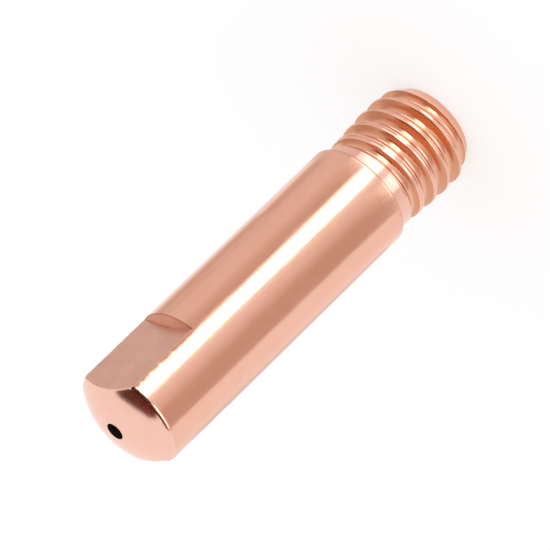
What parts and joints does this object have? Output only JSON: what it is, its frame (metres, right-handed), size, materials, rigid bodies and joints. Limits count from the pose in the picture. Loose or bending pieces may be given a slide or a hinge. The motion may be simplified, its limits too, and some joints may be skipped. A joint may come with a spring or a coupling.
{
  "type": "welding contact tip",
  "caption": "Round copper contact tip with a domed nose, a through bore for the wire, opposed spanner flats and a right-hand screw thread at its base.",
  "frame": {"origin": "centre of the flat ring at the threaded end, on which the tip stands", "axes": "+Z along the wire bore, from the threaded end to the domed nose; the spanner flats face +Y and -Y"},
  "size_m": [0.006, 0.006, 0.025],
  "materials": {
    "copper": "bright drawn copper, turned nose and rolled thread, milled flats duller"
  },
  "bodies": {
    "root": {"contact_tip": "copper"}
  },
  "joints": []
}
